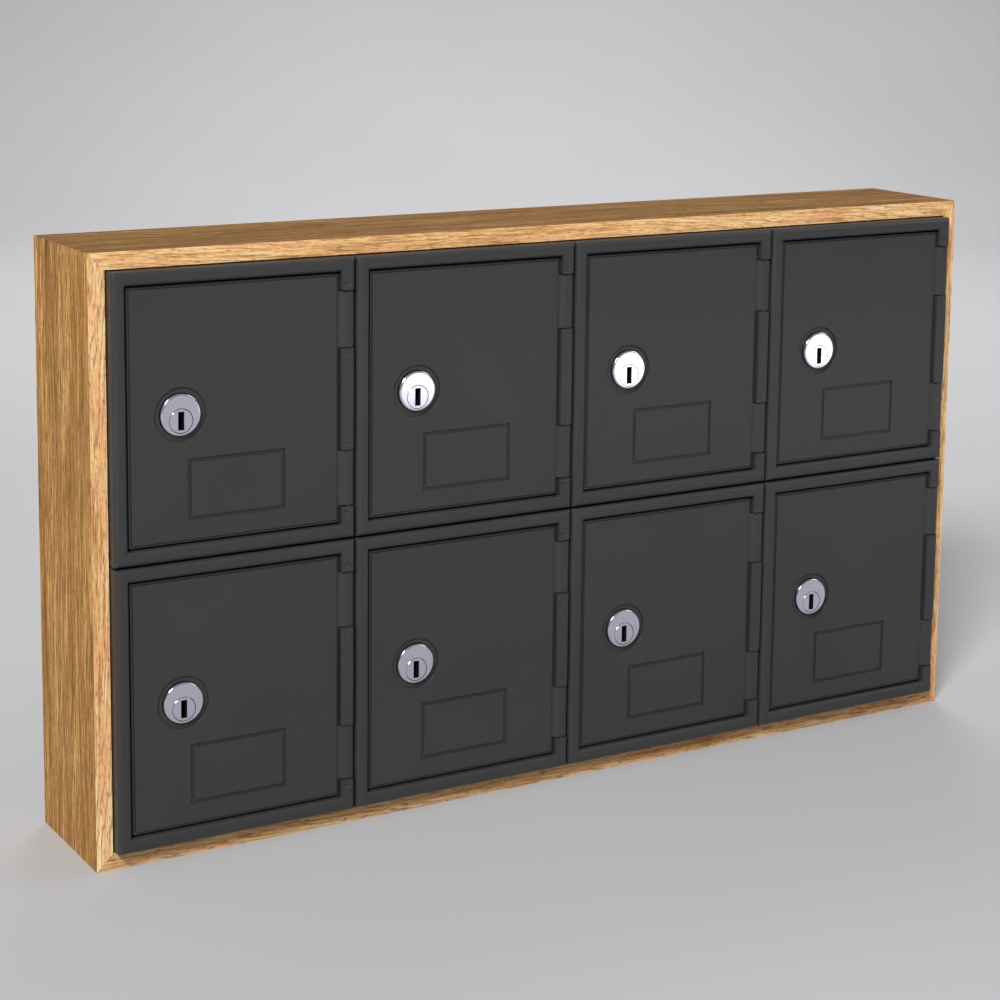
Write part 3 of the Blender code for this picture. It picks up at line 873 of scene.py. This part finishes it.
def screw_mesh(name, metal):
    """The pan-head screw with a cross recess that holds the cam on the plug's tail."""
    x, z, radius, height = PLUG.x, PLUG.z, SCREW_RADIUS, SCREW_HEIGHT
    seat = TAIL_BACK + 0.02 * MM
    profile = [(radius, seat)]
    for i in range(ARC_STEPS + 1):
        angle = math.pi / 2 * i / ARC_STEPS * 0.9
        profile.append((radius * math.cos(angle), seat + height * (0.35 + 0.65 * math.sin(angle))))
    head = turned(f"{name}_head", x, z, profile, 40)
    arm, slot = radius * 0.55, radius * 0.14
    deep = seat + height * 0.45
    top = seat + height * 2
    first = block(f"{name}_slot_a", (x - arm, deep, z - slot), (x + arm, top, z + slot))
    second = block(f"{name}_slot_b", (x - slot, deep, z - arm), (x + slot, top, z + arm))
    return coated(combined(name, head, ("DIFFERENCE", first), ("DIFFERENCE", second)), metal)


# ------------------------------------------------------------------ assembly
def make_lockers():
    paint = enamel()
    plated = chrome()
    steel = zinc()
    shell = module_mesh(paint)
    leaf = door_mesh(paint)
    inside = painted_shade_black()
    lock = lock_shell_mesh(plated, inside)
    plug = plug_mesh(plated, inside)
    cam = cam_mesh(steel)
    nut = nut_mesh(steel)
    screw = screw_mesh("cam_screw", steel)
    ends = (PIN_LOW.z, PIN_HIGH.z)
    rod = upright_rod("pin_rod", HINGE.x, HINGE.y, PIN_RADIUS, *ends, sides=32, bevel=0.3 * MM)
    pin = shaded(painted(rod, steel))
    for n in LOCKERS:
        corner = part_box(f"module_body_{n}")[0]
        door, turning = f"door_assembly_{n}", f"plug_assembly_{n}"
        piece(f"module_shell_{n}", shell, "cabinet", corner, [f"module_body_{n}"])
        piece(f"pin_rod_{n}", pin, "cabinet", corner, [f"hinge_pin_{n}"])
        piece(f"door_leaf_{n}", leaf, door, corner, [f"door_{n}"])
        piece(f"lock_shell_{n}", lock, door, corner, [f"lock_body_{n}"])
        piece(f"lock_nut_{n}", nut, door, corner)
        piece(f"plug_core_{n}", plug, turning, corner, [f"lock_plug_{n}"])
        piece(f"cam_bar_{n}", cam, turning, corner, [f"lock_cam_{n}"])
        piece(f"cam_screw_{n}", screw, turning, corner)


# ------------------------------------------------------------------ studio
def area_light(name, at, aim, size, power, spread=180):
    data = bpy.data.lights.new(name, "AREA")
    data.spread = math.radians(spread)
    data.shape = "RECTANGLE"
    data.size, data.size_y = size
    data.energy = power
    obj = bpy.data.objects.new(name, data)
    bpy.context.scene.collection.objects.link(obj)
    obj.location = at
    obj.rotation_euler = (Vector(aim) - Vector(at)).to_track_quat("-Z", "Y").to_euler()
    return obj


def make_floor():
    """A pale floor that curves up into a backdrop behind the object."""
    bm = bmesh.new()
    front, back, height, radius, half = -4.0, 4.2, 4.0, 1.8, 6.0
    profile = [(front, 0.0)]
    for i in range(BACKDROP_STEPS + 1):
        angle = math.pi / 2 * i / BACKDROP_STEPS
        y = back - radius + radius * math.sin(angle)
        profile.append((y, radius - radius * math.cos(angle)))
    profile.append((back, height))
    rows = [[bm.verts.new((x, y, z)) for y, z in profile] for x in (-half, half)]
    for i in range(len(profile) - 1):
        bm.faces.new((rows[0][i], rows[1][i], rows[1][i + 1], rows[0][i + 1]))
    mesh = finished("backdrop", bm)
    mesh.shade_smooth()
    shader = Shader("backdrop_paper", Roughness=0.9, Specular_IOR_Level=0.1)
    cloud = shader.noise(shader.places((2, 2, 2)), detail=2)
    tone = shader.ramp(cloud, (0.3, (0.48, 0.48, 0.49)), (0.7, (0.50, 0.50, 0.51)))
    shader.feed("Base Color", tone)
    mesh.materials.append(shader.material)
    floor = bpy.data.objects.new("backdrop", mesh)
    bpy.context.scene.collection.objects.link(floor)
    floor.rotation_euler = (0, 0, STUDIO_TURN)


def make_camera():
    data = bpy.data.cameras.new("camera")
    data.lens = LENS_MM
    data.sensor_width = 36
    data.shift_y = CAMERA_SHIFT
    camera = bpy.data.objects.new("camera", data)
    bpy.context.scene.collection.objects.link(camera)
    pan = Matrix.Rotation(CAMERA_PAN, 4, "Z")
    tilt = Matrix.Rotation(CAMERA_TILT, 4, "X")
    roll = Matrix.Rotation(CAMERA_ROLL, 4, "Y")
    level = Matrix.Rotation(math.pi / 2, 4, "X")
    camera.matrix_world = Matrix.Translation(CAMERA_AT) @ pan @ tilt @ roll @ level
    bpy.context.scene.camera = camera


def make_lights():
    world = bpy.data.worlds.new("studio")
    world.use_nodes = True
    background = world.node_tree.nodes["Background"]
    background.inputs["Color"].default_value = (1, 1, 1, 1)
    background.inputs["Strength"].default_value = 0.30
    bpy.context.scene.world = world
    aim = (0, 0, 0.16)  # the middle of the object
    area_light("key", (-2.9, -2.8, 3.4), aim, (1.2, 1.2), 262)
    top_locks = (0.0375, -0.044, 0.24)
    area_light("lock_panel", (0.44, -0.60, 0.115), top_locks, (0.66, 0.08), 0.014, spread=36)
    area_light("side", (2.6, -0.9, 1.9), aim, (1.4, 1.4), 12)
    back = area_light("back", (1.0, 1.75, 2.0), (1.0, 1.75, 0), (1.0, 1.8), 21, spread=135)
    back.rotation_euler = (0, 0, STUDIO_TURN)
    bpy.context.scene.view_settings.view_transform = "Standard"


make_camera()
make_case()
make_lockers()
make_floor()
make_lights()
